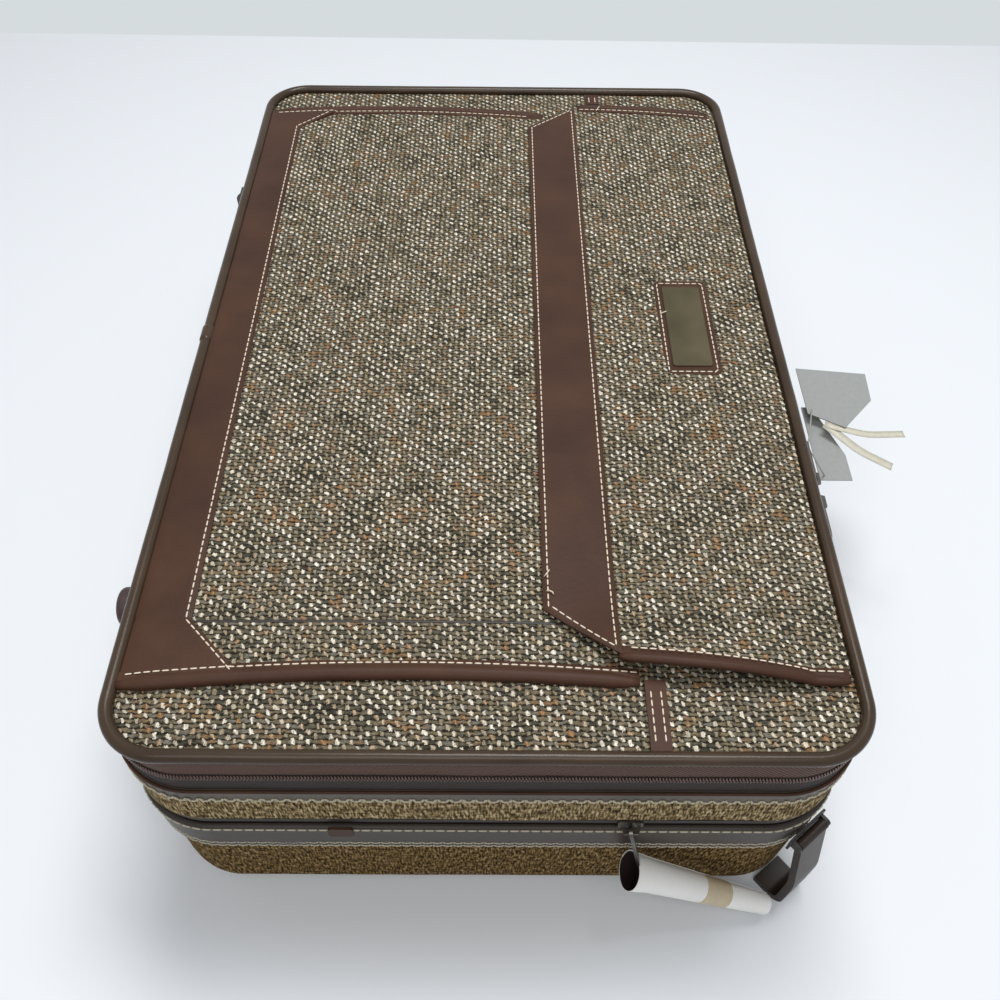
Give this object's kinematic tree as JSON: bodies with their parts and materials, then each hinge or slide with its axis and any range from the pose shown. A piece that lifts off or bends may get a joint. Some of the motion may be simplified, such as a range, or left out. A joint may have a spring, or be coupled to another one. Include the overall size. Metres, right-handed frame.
{
  "type": "soft-sided suitcase",
  "caption": "Soft-sided tweed suitcase with a zipped lid, expander zip, front flap pocket, folding carry handle, pull strap, feet and wheels.",
  "frame": {"origin": "middle of the back panel, on the surface that the case lies on", "axes": "+Z out of the front panel, +X to the side with the carry handle, +Y away from the end with the expander's slider"},
  "size_m": [0.536, 0.6941, 0.2193],
  "materials": {
    "tweed": "coarse tweed in beige, grey, tan and cream",
    "leather": "smooth brown leather with cream stitching",
    "piping": "taupe brown vinyl, satin",
    "zip_tape": "brown herringbone tape",
    "zip_row": "dark brown nylon coil",
    "board": "hard fibreboard",
    "lining": "brown woven lining",
    "webbing": "dark brown webbing",
    "dark_plastic": "moulded, matt",
    "rubber": "dark brown rubber",
    "steel": "plain",
    "gunmetal": "dark plated",
    "aged_brass": "antique, brushed, bare",
    "paper": "smooth white",
    "card": "thin grey card, blank"
  },
  "bodies": {
    "case": {"body_cover": "tweed", "back_panel": "tweed", "body_frame": "board", "body_lining": "lining", "body_strip": "leather", "tie_straps": "webbing", "tie_buckle": "dark_plastic", "expander_zip_lower": "zip_tape", "expansion_gusset": "lining", "strip_tongue": "leather", "handle_pad": "leather", "handle_brackets": "gunmetal", "handle_pins": "steel", "handle_rivets": "steel", "foot_back": "rubber", "wheel_housing_back": "dark_plastic", "wheel_axle_back": "steel", "strap_anchor": "gunmetal"},
    "rim": {"expander_zip_upper": "zip_tape", "upper_band": "tweed", "rim_binding": "leather", "rim_frame": "board", "rim_lining": "lining", "rim_zip_tape": "zip_tape", "rim_zip_row": "zip_row", "hinge_strip": "leather", "zip_end_tabs": "leather", "foot_front": "rubber", "wheel_housing_front": "dark_plastic", "wheel_axle_front": "steel"},
    "lid": {"lid_zip_tape": "zip_tape", "lid_zip_row": "zip_row", "lid_piping": "piping", "piping_sleeve": "piping", "lid_board": "board", "lid_lining": "lining", "lid_cover": "tweed", "pocket_welts": "leather", "pocket_panel": "tweed", "side_trim": "leather", "panel_tabs": "leather", "touch_tape_lid": "webbing"},
    "flap": {"flap_panel": "tweed", "flap_band": "leather", "flap_welts": "leather", "name_patch": "leather", "name_plate": "aged_brass", "touch_tape_flap": "webbing"},
    "lid_slider_near": {"lid_slider_near": "gunmetal"},
    "lid_slider_far": {"lid_slider_far": "gunmetal"},
    "lid_pull_near": {"lid_pull_near": "gunmetal"},
    "lid_pull_far": {"lid_pull_far": "gunmetal", "swing_tags": "card"},
    "expander_slider": {"expander_slider": "gunmetal"},
    "expander_pull": {"expander_pull": "gunmetal", "pull_sleeve": "paper"},
    "handle": {"handle_grip": "leather"},
    "strap": {"pull_strap": "leather"},
    "wheel_front": {"wheel_front": "rubber"},
    "wheel_back": {"wheel_back": "rubber"}
  },
  "joints": [
    {"name": "expansion", "type": "slide", "parent": "case", "child": "rim", "axis": [0, 0, 1], "range_m": [0, 0.045], "deforming": ["expansion_gusset"]},
    {"name": "lid_hinge", "type": "hinge", "parent": "rim", "child": "lid", "pos_m": [-0.2171, 0, 0.187], "axis": [0, -1, 0], "range_deg": [0, 140]},
    {"name": "flap_hinge", "type": "hinge", "parent": "lid", "child": "flap", "pos_m": [0.199, 0, 0.2177], "axis": [0, 1, 0], "range_deg": [0, 150]},
    {"name": "lid_slide_near", "type": "slide", "parent": "rim", "child": "lid_slider_near", "axis": [0, -1, 0], "range_m": [0, 0.13]},
    {"name": "lid_slide_far", "type": "slide", "parent": "rim", "child": "lid_slider_far", "axis": [0, 1, 0], "range_m": [0, 0.38]},
    {"name": "lid_pull_hinge_near", "type": "hinge", "parent": "lid_slider_near", "child": "lid_pull_near", "pos_m": [0.2182, -0.138, 0.187], "axis": [0, 0, 1], "range_deg": [0, 120]},
    {"name": "lid_pull_hinge_far", "type": "hinge", "parent": "lid_slider_far", "child": "lid_pull_far", "pos_m": [0.2182, -0.118, 0.187], "axis": [0, 0, -1], "range_deg": [0, 90]},
    {"name": "expander_slide", "type": "slide", "parent": "case", "child": "expander_slider", "axis": [-1, 0, 0], "range_m": [0, 0.24]},
    {"name": "expander_pull_hinge", "type": "hinge", "parent": "expander_slider", "child": "expander_pull", "pos_m": [0.084, -0.3374, 0.1255], "axis": [-0.9781, 0, -0.2079], "range_deg": [0, 100]},
    {"name": "handle_hinge", "type": "hinge", "parent": "case", "child": "handle", "pos_m": [0.2256, 0, 0.066], "axis": [0, -1, 0], "range_deg": [0, 170]},
    {"name": "strap_hinge", "type": "hinge", "parent": "case", "child": "strap", "pos_m": [0.20031, -0.32572, 0.092], "axis": [-0.7771, -0.6293, 0], "range_deg": [0, 120]},
    {"name": "wheel_front_spin", "type": "hinge", "parent": "rim", "child": "wheel_front", "pos_m": [-0.23, 0.25, 0.147], "axis": [0, 0, 1], "continuous": true},
    {"name": "wheel_back_spin", "type": "hinge", "parent": "case", "child": "wheel_back", "pos_m": [-0.23, 0.25, 0.048], "axis": [0, 0, 1], "continuous": true}
  ]
}
